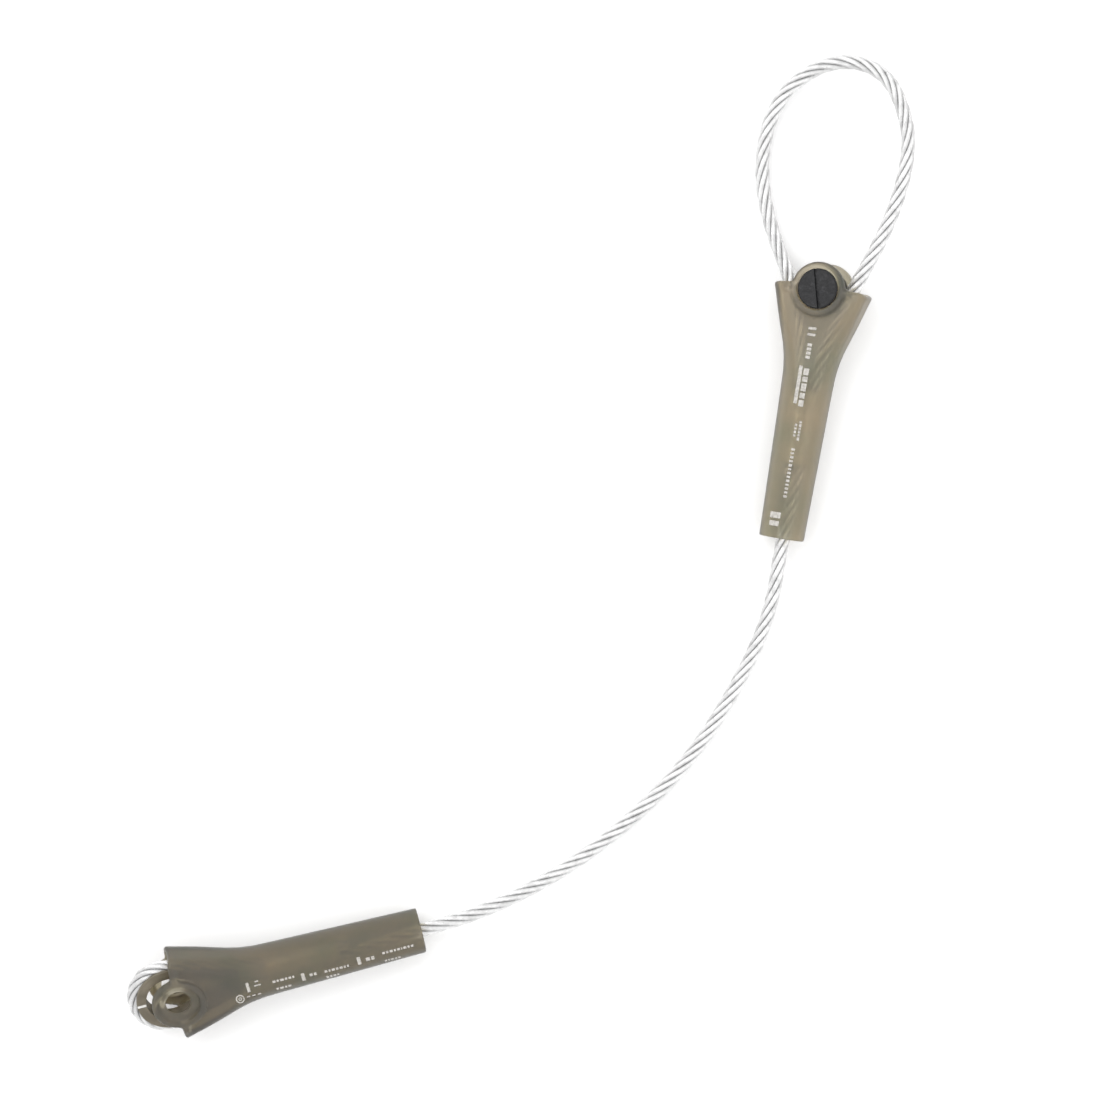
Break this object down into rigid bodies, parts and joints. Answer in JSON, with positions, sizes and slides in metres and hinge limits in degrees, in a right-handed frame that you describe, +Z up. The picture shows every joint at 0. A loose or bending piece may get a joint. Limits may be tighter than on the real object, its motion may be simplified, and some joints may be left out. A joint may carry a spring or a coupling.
{
  "type": "wire rope sling",
  "caption": "Wire rope sling with a thimbled small eye, a large soft eye and a translucent sleeve over each pressed ferrule.",
  "frame": {"origin": "on the surface the sling lies on, under the middle of the box round its two sleeves, ferrules and thimble", "axes": "+Z up, out of the surface the sling lies on; +X towards the side of the large eye; +Y along the large eye, away from the small eye"},
  "size_m": [0.3396, 0.4254, 0.0352],
  "materials": {
    "galvanised_rope": "bright drawn galvanised wire, laid in strands",
    "ferrule_aluminium": "pressed aluminium with faint die marks",
    "thimble_plastic": "translucent tan moulded plastic",
    "smoky_sleeve": "translucent smoky grey-brown moulded plastic, satin",
    "black_plastic": "black moulded plastic, satin"
  },
  "bodies": {
    "rope": {"wire_rope": "galvanised_rope", "small_eye_thimble": "thimble_plastic", "small_eye_ferrule": "ferrule_aluminium", "large_eye_ferrule": "ferrule_aluminium"},
    "small_sleeve": {"small_eye_sleeve": "smoky_sleeve"},
    "large_sleeve": {"large_eye_sleeve": "smoky_sleeve"},
    "screw": {"retaining_screw": "black_plastic"},
    "nut": {"barrel_nut": "black_plastic"}
  },
  "joints": [
    {"name": "small_sleeve_slide", "type": "slide", "parent": "rope", "child": "small_sleeve", "axis": [0.968, 0.2414, -0.068], "range_m": [0, 0.024]},
    {"name": "large_sleeve_slide", "type": "slide", "parent": "rope", "child": "large_sleeve", "axis": [-0.1649, -0.9855, -0.0401], "range_m": [0, 0.01]},
    {"name": "nut_turn", "type": "hinge", "parent": "large_sleeve", "child": "nut", "pos_m": [0.13754, 0.15581, 0.01417], "axis": [-0.2947, 0.0104, 0.9555], "range_deg": [-2160, 0]},
    {"name": "screw_backs_out", "type": "slide", "parent": "large_sleeve", "child": "screw", "axis": [-0.2947, 0.0104, 0.9555], "range_m": [0, 0.012]}
  ],
  "couplings": [
    {"joint": "nut_turn", "follows": "screw_backs_out", "rad_per_m": -3141.6}
  ]
}
